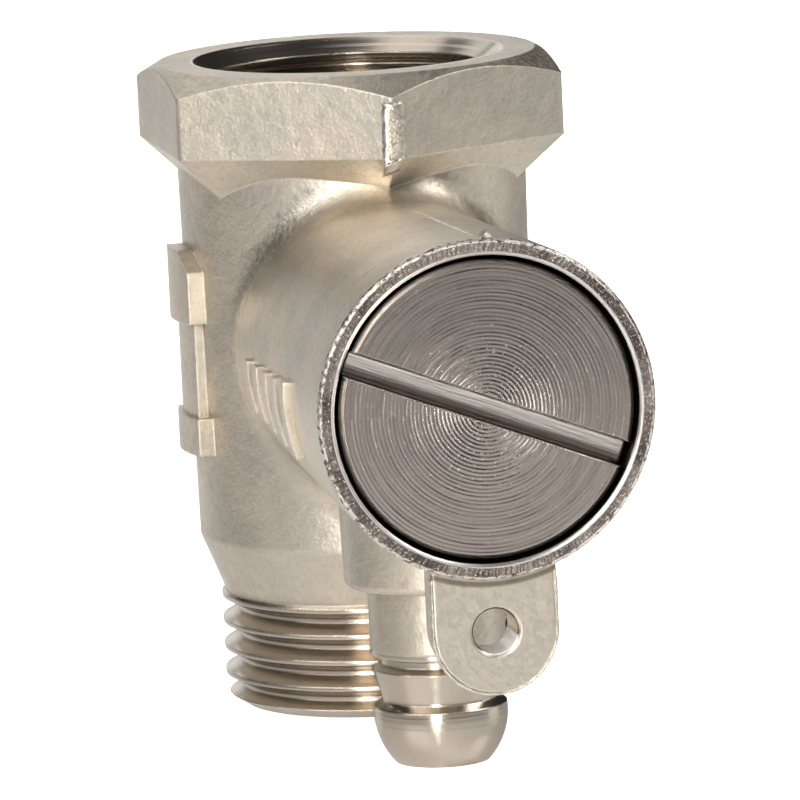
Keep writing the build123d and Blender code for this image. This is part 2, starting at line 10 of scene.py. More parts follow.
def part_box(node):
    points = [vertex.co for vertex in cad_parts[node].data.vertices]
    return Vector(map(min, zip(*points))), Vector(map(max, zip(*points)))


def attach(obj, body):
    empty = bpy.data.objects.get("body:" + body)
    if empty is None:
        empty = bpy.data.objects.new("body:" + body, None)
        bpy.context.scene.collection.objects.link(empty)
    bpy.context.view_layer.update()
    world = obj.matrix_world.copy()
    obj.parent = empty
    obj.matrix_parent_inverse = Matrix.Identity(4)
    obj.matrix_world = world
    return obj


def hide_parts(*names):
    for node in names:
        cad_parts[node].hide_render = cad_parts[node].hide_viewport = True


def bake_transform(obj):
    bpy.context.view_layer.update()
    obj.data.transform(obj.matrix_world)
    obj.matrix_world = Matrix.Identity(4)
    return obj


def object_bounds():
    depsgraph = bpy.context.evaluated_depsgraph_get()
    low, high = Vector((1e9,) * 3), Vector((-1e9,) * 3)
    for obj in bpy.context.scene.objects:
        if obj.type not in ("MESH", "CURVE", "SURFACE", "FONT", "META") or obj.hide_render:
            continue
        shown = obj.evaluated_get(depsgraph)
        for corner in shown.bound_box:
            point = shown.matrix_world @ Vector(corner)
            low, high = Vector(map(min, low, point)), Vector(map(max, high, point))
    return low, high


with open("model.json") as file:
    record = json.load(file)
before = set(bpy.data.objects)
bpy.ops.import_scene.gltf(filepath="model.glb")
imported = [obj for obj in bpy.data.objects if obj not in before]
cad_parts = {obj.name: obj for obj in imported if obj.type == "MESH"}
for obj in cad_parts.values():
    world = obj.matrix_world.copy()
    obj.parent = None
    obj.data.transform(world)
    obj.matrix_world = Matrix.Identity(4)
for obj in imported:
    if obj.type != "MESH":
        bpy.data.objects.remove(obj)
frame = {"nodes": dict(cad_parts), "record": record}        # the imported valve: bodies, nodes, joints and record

# The looks of a water heater safety valve: procedural metals and rubber on the CAD nodes, wire for the
# two springs, the torn band and the trimmed flash of the forging, and the studio round it.

CAD_LOW, CAD_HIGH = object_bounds()
NODES = frame["nodes"]
MOUNTS = {mount["name"]: mount for mount in frame["record"]["mounts"]}
MM = 0.001

# The branch's axis runs along -Y at this height; the main axis is the Z axis.
PLUG_LOW, PLUG_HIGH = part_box("adjusting_plug")
BRANCH_Z = (PLUG_LOW.z + PLUG_HIGH.z) / 2
BRANCH_END_Y = CAD_LOW.y
PLUG_FACE_Y = PLUG_LOW.y
DRAIN_Y = MOUNTS["drain_spigot"]["pos_m"][1]
EAR_HOLE_Z = MOUNTS["seal_hole"]["pos_m"][2]
SLOT_TILT = math.radians(22)

# Where the forging's finish changes: heights, and radii about the axis that each zone is turned on.
SPIGOT_TOP_Z, SPIGOT_CLEAR_R = 8.0 * MM, 11.35 * MM
SOCKET_FOOT_Z, SOCKET_CLEAR_R = 33.1 * MM, 10.9 * MM
BARB_TOP_Z, BARB_CLEAR_R = 7.3 * MM, 6.1 * MM
EAR_HOLE_CLEAR_R, EAR_BACK_Y = 1.59 * MM, -36.5 * MM
MOUTH_CLEAR_R, LIP_R, TORN_R = 10.30 * MM, 10.375 * MM, 10.86 * MM
UNDER_RIM_START_R, UNDER_RIM_END_R = 11.375 * MM, 11.725 * MM

# The plug: its head's skirt, half the width given to its slot, and where the middle of its face fades.
PLUG_SKIRT_R, SLOT_HALF = 9.65 * MM, 1.1 * MM
MIDDLE_R, MIDDLE_END_R = 2.0 * MM, 6.5 * MM
RING_PITCH = 0.26 * MM

# Colours of the metals, linear.
WARM_NICKEL, GREY_NICKEL, BROWN_NICKEL = (0.72, 0.635, 0.515), (0.62, 0.56, 0.475), (0.47, 0.42, 0.35)
# The bright nickel is for worn edges, and is painted there also as edge highlights.
TURNED_NICKEL, EAR_NICKEL, WEAR_AND_HIGHLIGHT_NICKEL = (0.58, 0.51, 0.425), (0.80, 0.715, 0.60), (0.93, 0.88, 0.80)
LIP_NICKEL, RIM_NICKEL = (0.86, 0.82, 0.76), (0.80, 0.74, 0.67)
# In the ear's hole: a painted highlight for its lit floor, a darker brown for its wall, and painted shade for its
# roof.
LIT_HOLE, HOLE_WALL, HOLE_ROOF_SHADE = (0.95, 0.93, 0.89), (0.46, 0.38, 0.31), (0.12, 0.09, 0.07)
# Darker specks on the chipped rim: the third colour on the next line.
# Painted shade for corners and grooves: the first colour on the next line.
# Painted shadow for the line under the rim's overhang: the second colour on the next line.
CREVICE_SHADE, UNDER_RIM_SHADE, CHIP_DARK = (0.24, 0.195, 0.15), (0.20, 0.155, 0.105), (0.16, 0.125, 0.10)
# Painted shade: near black for the gap round the plug, which looks black in shadow.
GAP_SHADE = (0.05, 0.042, 0.036)
LIGHT_BRASS, DARK_BRASS = (0.83, 0.66, 0.36), (0.66, 0.50, 0.26)

# Where the forging's flash runs: along the branch's top, down the hexagon's corner, down the barrel's
# back, under the branch, and round the ear just behind its face.
FLASH_TOP_Y = (-39.8 * MM, -20.5 * MM)
FLASH_CORNER_Z = (43.3 * MM, 38.3 * MM)
FLASH_BACK_Z = (39.0 * MM, 9.0 * MM)
FLASH_UNDER_Y = (-36.6 * MM, -29.4 * MM)
EAR_TOP_Z, EAR_EDGE_DEPTH, EAR_SIDE_X = 15.2 * MM, 0.20 * MM, 3.0 * MM
UNDER_HEX_Z = 38.0 * MM
OUTSIDE = 0.1        # a distance at which a ray starts well clear of the valve

# The floor looks whiter to the camera than it shines on the valve, as a cleared background does.
GLOW_ON_VALVE, GLOW_TO_CAMERA = 0.12, 1.6
WORLD_GLOW = 0.02
FLOOR_HALF, FLOOR_GAP = 6.0, 0.02 * MM
LIGHT_DISTANCE = 1.1


# ---------------------------------------------------------------- shader helpers


def node(tree, kind, inputs=(), **settings):
    """Adds a shader node, sets its options and feeds its inputs with values or other nodes' outputs."""
    made = tree.nodes.new("ShaderNode" + kind)
    for name, value in settings.items():
        setattr(made, name, value)
    for key, value in dict(inputs).items():
        if isinstance(value, bpy.types.NodeSocket):
            tree.links.new(value, made.inputs[key])
        else:
            made.inputs[key].default_value = value
    return made


def calc(tree, operation, a, b=0.0):
    """One step of arithmetic on values or other nodes' outputs."""
    return node(tree, "Math", {0: a, 1: b}, operation=operation).outputs[0]


def plus(tree, first, *others):
    total = first
    for other in others:
        total = calc(tree, "ADD", total, other)
    return total


def minus(tree, a, b):
    return calc(tree, "SUBTRACT", a, b)


def times(tree, first, *others):
    """The product of several values or masks."""
    product = first
    for other in others:
        product = calc(tree, "MULTIPLY", product, other)
    return product


def ramp(tree, value, low, high, to_low=0.0, to_high=1.0):
    """Smooth step from to_low at low to to_high at high."""
    inputs = {"Value": value, "From Min": low, "From Max": high, "To Min": to_low, "To Max": to_high}
    return node(tree, "MapRange", inputs, interpolation_type="SMOOTHSTEP").outputs[0]


def over(tree, value, limit, blur):
    """Mask that fades from 0 to 1 as a value passes a limit, across a blur."""
    return ramp(tree, value, limit - blur / 2, limit + blur / 2)


def under(tree, value, limit, blur):
    """Mask that fades from 1 to 0 as a value passes a limit, across a blur."""
    return ramp(tree, value, limit + blur / 2, limit - blur / 2)


def blend_colour(tree, share, a, b):
    """Colour a where the share is 0 and colour b where it is 1."""
    inputs = {0: share, 6: rgba(a), 7: rgba(b)}
    return node(tree, "Mix", inputs, data_type="RGBA").outputs[2]


def blend_value(tree, share, a, b):
    """Value a where the share is 0 and value b where it is 1."""
    return node(tree, "Mix", {0: share, 2: a, 3: b}, data_type="FLOAT").outputs[0]


def noise(tree, coords, size, detail=2.0, roughness=0.5):
    """Noise whose features are about size metres across."""
    inputs = {"Vector": coords, "Scale": 1.0 / size, "Detail": detail, "Roughness": roughness}
    return node(tree, "TexNoise", inputs).outputs["Fac"]


def combine(tree, x=0.0, y=0.0, z=0.0):
    return node(tree, "CombineXYZ", {0: x, 1: y, 2: z}).outputs[0]


def rgba(colour):
    """A colour with full alpha; another node's output is passed on as it is."""
    return colour if isinstance(colour, bpy.types.NodeSocket) else (*colour, 1.0)


def start_material(name):
    """A new material, its node tree, its Principled shader and its object-space coordinates."""
    material = bpy.data.materials.new(name)
    material.use_nodes = True
    tree = material.node_tree
    shader = tree.nodes["Principled BSDF"]
    coords = node(tree, "TexCoord").outputs["Object"]
    return material, tree, shader, coords


def parts_of(tree, coords):
    """The x, y and z of a vector."""
    split = node(tree, "SeparateXYZ", {0: coords})
    return split.outputs[0], split.outputs[1], split.outputs[2]


def radius_from(tree, a, b):
    return calc(tree, "SQRT", plus(tree, times(tree, a, a), times(tree, b, b)))


def polar(tree, a, b):
    """Radius from an axis and the angle round it, from the two coordinates across it."""
    return radius_from(tree, a, b), calc(tree, "ARCTAN2", b, a)


def bump(tree, shader, height, bevel):
    """Feeds a height in millimetres to the shader's normal, over edges rounded by bevel."""
    rounded = node(tree, "Bevel", {"Radius": bevel}, samples=6).outputs[0]
    inputs = {"Height": height, "Distance": MM, "Strength": 1.0, "Normal": rounded}
    raised = node(tree, "Bump", inputs).outputs[0]
    tree.links.new(raised, shader.inputs["Normal"])


def edge_wear_and_highlight(tree, radius):
    """Mask that is 1 on sharp convex and concave edges and 0 on flat faces."""
    rounded = node(tree, "Bevel", {"Radius": radius}, samples=6).outputs[0]
    facing = node(tree, "NewGeometry").outputs["Normal"]
    agree = node(tree, "VectorMath", {0: rounded, 1: facing}, operation="DOT_PRODUCT").outputs["Value"]
    return ramp(tree, minus(tree, 1.0, agree), 0.03, 0.30)


def crevice(tree, reach):
    """Mask that is 1 deep in corners and grooves and 0 where the surface is open."""
    openness = node(tree, "AmbientOcclusion", {"Distance": reach}, samples=8, only_local=True).outputs["AO"]
    return ramp(tree, openness, 0.72, 0.30)


def largest(tree, first, *others):
    """The union of several masks."""
    result = first
    for other in others:
        result = calc(tree, "MAXIMUM", result, other)
    return result


# ---------------------------------------------------------------- materials


def forging_zones(tree, x, y, z):
    """Masks of the forging's finishes, by name, and the radius and angle about the branch's axis."""
    arm_r, arm_angle = polar(tree, x, minus(tree, z, BRANCH_Z))
    main_r = radius_from(tree, x, y)
    drain_r = radius_from(tree, x, minus(tree, y, DRAIN_Y))
    over_hole = minus(tree, z, EAR_HOLE_Z)
    hole_r = radius_from(tree, x, over_hole)
    lean = minus(tree, over_hole, times(tree, x, 0.35))
    from_rim = minus(tree, y, BRANCH_END_Y)

    spigot = times(tree, under(tree, z, SPIGOT_TOP_Z, 0.4 * MM), under(tree, main_r, SPIGOT_CLEAR_R, 0.3 * MM))
    socket = times(tree, over(tree, z, SOCKET_FOOT_Z, 0.2 * MM), under(tree, main_r, SOCKET_CLEAR_R, 0.2 * MM))
    barb = times(tree, under(tree, z, BARB_TOP_Z, 0.2 * MM), under(tree, drain_r, BARB_CLEAR_R, 0.2 * MM))
    drilled = times(tree, under(tree, hole_r, EAR_HOLE_CLEAR_R, 0.06 * MM), under(tree, y, EAR_BACK_Y, 1.0 * MM))
    ear_face = times(tree, over(tree, from_rim, 0.55 * MM, 0.1 * MM), under(tree, from_rim, 0.85 * MM, 0.1 * MM))
    rim_face = under(tree, from_rim, 0.475 * MM, 0.25 * MM)
    in_mouth = times(tree, over(tree, from_rim, 0.25 * MM, 0.1 * MM), under(tree, from_rim, 5.5 * MM, 1.0 * MM))
    zones = {
        "turned": largest(tree, spigot, socket, barb),
        "drilled": drilled,
        "hole_floor": times(tree, drilled, under(tree, lean, -0.85 * MM, 0.3 * MM)),
        "hole_roof": times(tree, drilled, over(tree, lean, 0.4 * MM, 0.4 * MM)),
        "ear_face": ear_face,
        "under_rim": times(tree, ear_face, over(tree, arm_r, UNDER_RIM_START_R, 0.15 * MM),
                           under(tree, arm_r, UNDER_RIM_END_R, 0.25 * MM)),
        "lip": times(tree, under(tree, from_rim, 0.26 * MM, 0.08 * MM), under(tree, arm_r, LIP_R, 0.03 * MM)),
        "torn": times(tree, rim_face, over(tree, arm_r, LIP_R, 0.03 * MM), under(tree, arm_r, TORN_R, 0.12 * MM)),
        "rim_edge": times(tree, rim_face, over(tree, arm_r, TORN_R, 0.12 * MM)),
        "mouth": times(tree, in_mouth, under(tree, arm_r, MOUTH_CLEAR_R, 0.1 * MM)),
    }
    return zones, arm_r, arm_angle


def forging_colour(tree, coords, zones, wear_and_highlight, chips):
    """Warm nickel in patches; worn edges painted brighter, also as painted edge highlights; painted shade in
    corners and under the rim's overhang; in the ear's hole a darker wall, painted shade on its roof and a painted
    highlight on its floor; painted near-black shade in the branch's mouth; darker chips on the rim.
    """
    patches = ramp(tree, noise(tree, coords, 5 * MM, 3.0), 0.35, 0.65)
    fine = noise(tree, coords, 0.40 * MM, 3.0, 0.6)
    layers = (
        (ramp(tree, fine, 0.45, 0.75, 0.0, 0.35), BROWN_NICKEL),
        (zones["turned"], TURNED_NICKEL),
        (times(tree, zones["ear_face"], 0.6), EAR_NICKEL),
        # Worn edges, painted brighter also as painted edge highlights.
        (wear_and_highlight, WEAR_AND_HIGHLIGHT_NICKEL),
        # Painted shade: corners and grooves darkened where ambient occlusion finds them closed in.
        (times(tree, crevice(tree, 1.1 * MM), 0.75), CREVICE_SHADE),
        # Painted shadow: a dark line on the ear just under the rim's overhang.
        (times(tree, zones["under_rim"], 0.8), UNDER_RIM_SHADE),
        # In the ear's hole: a darker wall, painted shade on the roof and a painted highlight on the floor.
        (zones["drilled"], HOLE_WALL),
        (zones["hole_roof"], HOLE_ROOF_SHADE),
        (zones["hole_floor"], LIT_HOLE),
        (zones["lip"], LIP_NICKEL),
        # Painted shade: the branch's mouth behind the lip painted near black, as the gap round the plug looks in
        # shadow.
        (zones["mouth"], GAP_SHADE),
        (zones["rim_edge"], RIM_NICKEL),
        # Darker specks where the chip noise is high, on the rim's outer edge and on the torn band.
        (times(tree, zones["rim_edge"], ramp(tree, chips, 0.50, 0.58)), CHIP_DARK),
        (times(tree, zones["torn"], ramp(tree, chips, 0.42, 0.52)), CHIP_DARK),
    )
    colour = blend_colour(tree, patches, WARM_NICKEL, GREY_NICKEL)
    for share, layer in layers:
        colour = blend_colour(tree, share, colour, layer)
    return colour


def forging_relief(tree, coords, z, zones, worn, chips):
    """Heights in millimetres: forging grain, tool marks where it is turned, torn metal on the rim."""
    grain = times(tree, noise(tree, coords, 0.22 * MM, 4.0, 0.6), 0.030)
    dents = times(tree, noise(tree, coords, 1.3 * MM, 2.0), 0.060)
    cast = times(tree, plus(tree, grain, dents), blend_value(tree, zones["ear_face"], 1.0, 0.45))
    lines = combine(tree, z=z)
    tool = plus(tree, times(tree, noise(tree, lines, 0.16 * MM, 2.0), 0.012),
                times(tree, noise(tree, lines, 0.60 * MM, 1.0), 0.035))
    height = blend_value(tree, zones["turned"], cast, tool)
    height = blend_value(tree, zones["drilled"], height, tool)
    height = plus(tree, height, times(tree, worn, 0.05))
    height = blend_value(tree, zones["rim_edge"], height, times(tree, chips, 0.10))
    return blend_value(tree, zones["lip"], height, times(tree, chips, 0.03))


def forged_nickel():
    """Nickel plate over the forging: grainy and satin outside, turned and brighter where it is machined."""
    material, tree, shader, coords = start_material("forged_nickel")
    x, y, z = parts_of(tree, coords)
    zones, arm_r, arm_angle = forging_zones(tree, x, y, z)
    glint = noise(tree, coords, 0.16 * MM, 3.0, 0.7)
    wear_and_highlight = times(tree, edge_wear_and_highlight(tree, 0.24 * MM), ramp(tree, glint, 0.42, 0.56, 0.25, 1.0))
    around_rim = combine(tree, times(tree, arm_angle, 6 * MM), arm_r, y)
    chips = noise(tree, around_rim, 0.24 * MM, 4.0, 0.7)
    tree.links.new(forging_colour(tree, coords, zones, wear_and_highlight, chips), shader.inputs["Base Color"])

    rough = ramp(tree, noise(tree, coords, 0.40 * MM, 3.0, 0.6), 0.3, 0.7, 0.34, 0.48)
    rough = blend_value(tree, largest(tree, zones["turned"], zones["drilled"]), rough, 0.22)
    rough = blend_value(tree, largest(tree, zones["lip"], zones["rim_edge"]), rough, 0.30)
    tree.links.new(rough, shader.inputs["Roughness"])
    # Painted highlight: the hole's floor is made barely metallic, so that its near-white colour shows as a lit
    # patch.
    tree.links.new(blend_value(tree, zones["hole_floor"], 1.0, 0.15), shader.inputs["Metallic"])

    height = forging_relief(tree, coords, z, zones, times(tree, wear_and_highlight, glint), chips)
    bump(tree, shader, height, bevel=0.20 * MM)
    return material


def torn_nickel():
    """The torn band of the rim: dark broken metal with bright crystals standing in it."""
    material, tree, shader, coords = start_material("torn_nickel")
    x, _, z = parts_of(tree, coords)
    r, angle = polar(tree, x, minus(tree, z, BRANCH_Z))
    around = combine(tree, times(tree, angle, 7 * MM), r)
    crystals = noise(tree, around, 0.16 * MM, 4.0, 0.75)
    worn = ramp(tree, noise(tree, coords, 3.5 * MM, 2.0), 0.35, 0.65)
    base = blend_colour(tree, worn, (0.13, 0.10, 0.085), (0.34, 0.29, 0.25))
    base = blend_colour(tree, ramp(tree, crystals, 0.54, 0.64), base, (0.92, 0.88, 0.84))
    tree.links.new(base, shader.inputs["Base Color"])
    tree.links.new(ramp(tree, crystals, 0.4, 0.7, 0.45, 0.22), shader.inputs["Roughness"])
    shader.inputs["Metallic"].default_value = 1.0
    bump(tree, shader, times(tree, crystals, 0.12), bevel=0.04 * MM)
    return material


def flash_nickel():
    """Trimmed flash: the forging's nickel, rubbed brighter in uneven patches."""
    material, tree, shader, coords = start_material("flash_nickel")
    rubbed = ramp(tree, noise(tree, coords, 0.45 * MM, 3.0, 0.6), 0.42, 0.62)
    grain = noise(tree, coords, 0.18 * MM, 3.0, 0.6)
    base = blend_colour(tree, rubbed, (0.70, 0.62, 0.51), (0.90, 0.85, 0.78))
    tree.links.new(base, shader.inputs["Base Color"])
    tree.links.new(ramp(tree, grain, 0.3, 0.7, 0.30, 0.46), shader.inputs["Roughness"])
    shader.inputs["Metallic"].default_value = 1.0
    bump(tree, shader, times(tree, grain, 0.05), bevel=0.10 * MM)
    return material


def slot_colour(tree, across, streaks):
    """The milled slot: streaks along its floor, and painted shade that darkens the lower side of its floor."""
    floor_colour = blend_colour(tree, ramp(tree, streaks, 0.35, 0.65), (0.68, 0.62, 0.55), (0.88, 0.83, 0.76))
    # Painted shade: the floor darkens towards the slot's lower side, where its lower wall shades it.
    lower_side_shade = ramp(tree, across, 0.10 * MM, -0.35 * MM, 0.0, 0.82)
    floor_colour = blend_colour(tree, lower_side_shade, floor_colour, (0.10, 0.07, 0.055))
    in_slot = under(tree, calc(tree, "ABSOLUTE", across), SLOT_HALF, 0.2 * MM)
    return blend_colour(tree, in_slot, (0.62, 0.55, 0.47), floor_colour)


def faced_nickel():
    """The adjusting plug: facing cuts in rings about its own axis, and milling lines along the slot."""
    material, tree, shader, coords = start_material("faced_nickel")
    x, y, z = parts_of(tree, coords)
    above = minus(tree, z, BRANCH_Z)
    r, angle = polar(tree, x, above)
    face = under(tree, y, PLUG_FACE_Y + 0.04 * MM, 0.04 * MM)
    middle = ramp(tree, r, MIDDLE_END_R, MIDDLE_R)

    # The rings wander a little in depth round the face, as they do when the tool chatters.
    ring_coords = combine(tree, times(tree, angle, 0.35 * MM), r)
    coarse = noise(tree, ring_coords, 0.42 * MM, 1.0)
    fine = noise(tree, ring_coords, 0.13 * MM, 2.0)
    feed = calc(tree, "SINE", times(tree, r, 2 * math.pi / RING_PITCH))
    speck_coords = combine(tree, times(tree, angle, 5 * MM), r)
    specks = ramp(tree, noise(tree, speck_coords, 0.30 * MM, 3.0, 0.65), 0.60, 0.70)

    # Coordinates across and along the slot, and its milling streaks.
    across = plus(tree, times(tree, x, math.sin(SLOT_TILT)), times(tree, above, math.cos(SLOT_TILT)))
    along = minus(tree, times(tree, x, math.cos(SLOT_TILT)), times(tree, above, math.sin(SLOT_TILT)))
    streaks = noise(tree, combine(tree, across, times(tree, along, 0.04)), 0.16 * MM, 3.0, 0.6)

    base = blend_colour(tree, coarse, (0.325, 0.28, 0.25), (0.45, 0.393, 0.35))
    # White specks on the face: chatter marks, painted near white also as glints, most of them round the middle.
    speck_and_glint_share = times(tree, specks, blend_value(tree, middle, 0.25, 0.9))
    base = blend_colour(tree, speck_and_glint_share, base, (0.82, 0.78, 0.75))
    # Painted light: the face is made darker towards the top and lighter towards the bottom, where it catches more
    # light from below.
    painted_light_gradient = ramp(tree, above, -8 * MM, 8 * MM, 1.16, 0.86)
    base = node(tree, "VectorMath", {0: base, "Scale": painted_light_gradient}, operation="SCALE").outputs[0]
    base = blend_colour(tree, face, slot_colour(tree, across, streaks), base)
    # The plug's worn and burred edges, painted bright also as their highlight lines.
    wear_and_highlight = times(tree, edge_wear_and_highlight(tree, 0.14 * MM), ramp(tree, fine, 0.3, 0.5, 0.4, 1.0))
    base = blend_colour(tree, wear_and_highlight, base, (0.90, 0.86, 0.80))
    # Painted shade: the plug's skirt behind its face painted near black, like the shaded gap round it.
    skirt = times(tree, over(tree, y, PLUG_FACE_Y + 0.31 * MM, 0.06 * MM), over(tree, r, PLUG_SKIRT_R, 0.1 * MM))
    tree.links.new(blend_colour(tree, skirt, base, GAP_SHADE), shader.inputs["Base Color"])
    tree.links.new(blend_value(tree, wear_and_highlight, 1.0, 0.3), shader.inputs["Metallic"])
    rough = blend_value(tree, face, 0.28, ramp(tree, fine, 0.3, 0.7, 0.24, 0.38))
    tree.links.new(blend_value(tree, wear_and_highlight, rough, 0.55), shader.inputs["Roughness"])

    # Heights in millimetres: the feed's rings are deepest in the middle, where the tool slows.
    rings = times(tree, feed, ramp(tree, r, MIDDLE_R, MIDDLE_END_R, 0.0125, 0.0034))
    raised_specks = times(tree, specks, blend_value(tree, middle, 0.003, 0.012))
    depth = plus(tree, rings, times(tree, coarse, 0.030), times(tree, fine, 0.014), raised_specks)
    bump(tree, shader, blend_value(tree, face, times(tree, streaks, 0.035), depth), bevel=0.08 * MM)
    return material


def turned_metal(name, light, dark, rough, axis=2):
    """Lathe-turned metal: fine rings about an axis, with colour and gloss that vary a little."""
    material, tree, shader, coords = start_material(name)
    split = parts_of(tree, coords)
    along = node(tree, "CombineXYZ", {axis: split[axis]}).outputs[0]
    rings = noise(tree, along, 0.18 * MM, 2.0)
    patches = ramp(tree, noise(tree, coords, 1.8 * MM, 3.0), 0.3, 0.7)
    tree.links.new(blend_colour(tree, patches, light, dark), shader.inputs["Base Color"])
    tree.links.new(ramp(tree, rings, 0.3, 0.7, rough, rough + 0.12), shader.inputs["Roughness"])
    shader.inputs["Metallic"].default_value = 1.0
    bump(tree, shader, times(tree, rings, 0.008), bevel=0.08 * MM)
    return material


def drawn_wire():
    """Spring wire: drawing lines and a thin dark skin rubbed bright in places."""
    material, tree, shader, coords = start_material("drawn_wire")
    skin = noise(tree, coords, 0.5 * MM, 4.0, 0.6)
    base = blend_colour(tree, ramp(tree, skin, 0.4, 0.6), (0.62, 0.62, 0.63), (0.36, 0.355, 0.35))
    tree.links.new(base, shader.inputs["Base Color"])
    tree.links.new(ramp(tree, skin, 0.3, 0.7, 0.22, 0.38), shader.inputs["Roughness"])
    shader.inputs["Metallic"].default_value = 1.0
    bump(tree, shader, times(tree, noise(tree, coords, 0.12 * MM, 2.0), 0.006), bevel=0.05 * MM)
    return material


def seal_rubber():
    """Black valve rubber, matt, with a faint moulded grain."""
    material, tree, shader, coords = start_material("seal_rubber")
    bloom = noise(tree, coords, 1.2 * MM, 4.0, 0.6)
    base = blend_colour(tree, ramp(tree, bloom, 0.35, 0.7), (0.018, 0.018, 0.019), (0.045, 0.044, 0.042))
    tree.links.new(base, shader.inputs["Base Color"])
    tree.links.new(ramp(tree, bloom, 0.3, 0.7, 0.55, 0.75), shader.inputs["Roughness"])
    bump(tree, shader, times(tree, noise(tree, coords, 0.15 * MM, 3.0), 0.012), bevel=0.1 * MM)
    return material


def floor_paint():
    """Plain pale glossy floor with a barely visible tooth."""
    material, tree, shader, coords = start_material("studio_floor")
    base = blend_colour(tree, noise(tree, coords, 8 * MM, 3.0), (0.90, 0.90, 0.905), (0.93, 0.93, 0.93))
    tree.links.new(base, shader.inputs["Base Color"])
    settings = {
        "Roughness": 0.9,
        "Coat Weight": 1.0,
        "Coat Roughness": 0.12,
        "Emission Color": (1.0, 1.0, 1.0, 1.0),
    }
    for name, value in settings.items():
        shader.inputs[name].default_value = value
    seen = node(tree, "LightPath").outputs["Is Camera Ray"]
    glow = blend_value(tree, seen, GLOW_ON_VALVE, GLOW_TO_CAMERA)
    tree.links.new(glow, shader.inputs["Emission Strength"])

    # From below the floor is clear, so that the valve's underside can be looked at.
    below = node(tree, "NewGeometry").outputs["Backfacing"]
    clear = node(tree, "BsdfTransparent").outputs[0]
    seen_through = node(tree, "MixShader", {0: below, 1: shader.outputs[0], 2: clear}).outputs[0]
    tree.links.new(seen_through, tree.nodes["Material Output"].inputs["Surface"])
    return material


# ---------------------------------------------------------------- camera, floor and light


def towards(azimuth, elevation):
    """Unit vector from the valve towards an azimuth and elevation in radians; azimuth 0 is the branch's."""
    level = math.cos(elevation)
    return Vector((math.sin(azimuth) * level, -math.cos(azimuth) * level, math.sin(elevation)))


def camera():
    """The photograph's viewpoint: 11 degrees to the left of the branch and 9 degrees above it."""
    azimuth, elevation, roll = (math.radians(a) for a in (-11.33, 8.93, -2.72))
    target = Vector((-1.37, -20.0, 23.7)) * MM
    distance = 558.7 * MM
    back = towards(azimuth, elevation)
    level_right = Vector((math.cos(azimuth), math.sin(azimuth), 0))
    level_up = back.cross(level_right)
    right = math.cos(roll) * level_right + math.sin(roll) * level_up
    up = back.cross(right)
    data = bpy.data.cameras.new("photo_view")
    data.sensor_width = 36.0
    data.lens = 373.6
    made = bpy.data.objects.new("photo_view", data)
    bpy.context.scene.collection.objects.link(made)
    made.matrix_world = Matrix((right, up, back)).transposed().to_4x4()
    made.location = target + back * distance
    bpy.context.scene.camera = made


def floor():
    """A wide pale floor just under the lowest point of the valve."""
    mesh = bpy.data.meshes.new("studio_floor")
    low = CAD_LOW.z - FLOOR_GAP
    corners = [(a * FLOOR_HALF, b * FLOOR_HALF, low) for a, b in ((-1, -1), (1, -1), (1, 1), (-1, 1))]
    mesh.from_pydata(corners, [], [(0, 1, 2, 3)])
    made = bpy.data.objects.new("studio_floor", mesh)
    mesh.materials.append(floor_paint())
    bpy.context.scene.collection.objects.link(made)


def softbox(name, azimuth, elevation, width, height, radiance):
    """A rectangular white area light of one radiance, seen from the valve at angles in degrees."""
    direction = towards(math.radians(azimuth), math.radians(elevation))
    data = bpy.data.lights.new(name, "AREA")
    data.shape = "RECTANGLE"
    data.size, data.size_y = width, height
    data.energy = radiance * math.pi * width * height
    made = bpy.data.objects.new(name, data)
    bpy.context.scene.collection.objects.link(made)
    made.location = (CAD_LOW + CAD_HIGH) / 2 + direction * LIGHT_DISTANCE
    made.rotation_euler = (-direction).to_track_quat("-Z", "Y").to_euler()


def studio_light():
    """A small panel level with the camera and a tall strip over it, large soft fills, and pale walls behind."""
    softbox("key_by_camera", -20, 8, 0.17, 0.28, 20.0)
    softbox("strip_over_key", -20, 30, 0.11, 0.50, 29.0)
    softbox("fill_upper_left", -60, 35, 0.78, 0.60, 3.4)
    softbox("fill_right", 80, 46, 0.50, 0.50, 6.0)
    softbox("low_right", 90, 8, 0.50, 0.30, 1.1)
    softbox("back_wall", 180, 8, 0.60, 0.30, 1.0)
    softbox("back_left", -150, 8, 0.50, 0.30, 0.7)
    softbox("back_high", 180, 35, 0.60, 0.60, 1.0)
    softbox("top_back_left", -166, 62, 0.50, 0.50, 1.3)
    world = bpy.data.worlds.new("studio_world")
    world.use_nodes = True
    background = world.node_tree.nodes["Background"]
    background.inputs["Color"].default_value = (1.0, 1.0, 1.0, 1.0)
    background.inputs["Strength"].default_value = WORLD_GLOW
    bpy.context.scene.world = world
    bpy.context.scene.view_settings.view_transform = "Standard"


# ---------------------------------------------------------------- pieces


def mesh_piece(name, points, faces, material):
    """A smooth-shaded mesh object of one material, from points in metres in the valve's frame."""
    mesh = bpy.data.meshes.new(name)
    mesh.from_pydata(points, [], faces)
    mesh.materials.append(material)
    mesh.polygons.foreach_set("use_smooth", [True] * len(mesh.polygons))
    mesh.update()
    made = bpy.data.objects.new(name, mesh)
    bpy.context.scene.collection.objects.link(made)
    return made


def lying(point):
    """A point made about the Z axis, laid on the branch's axis with its +Z pointing out along -Y."""
    return Vector((point.x, -point.z, point.y + BRANCH_Z))


def upright(point):
    """A point made about the Z axis, left as it is."""
    return point


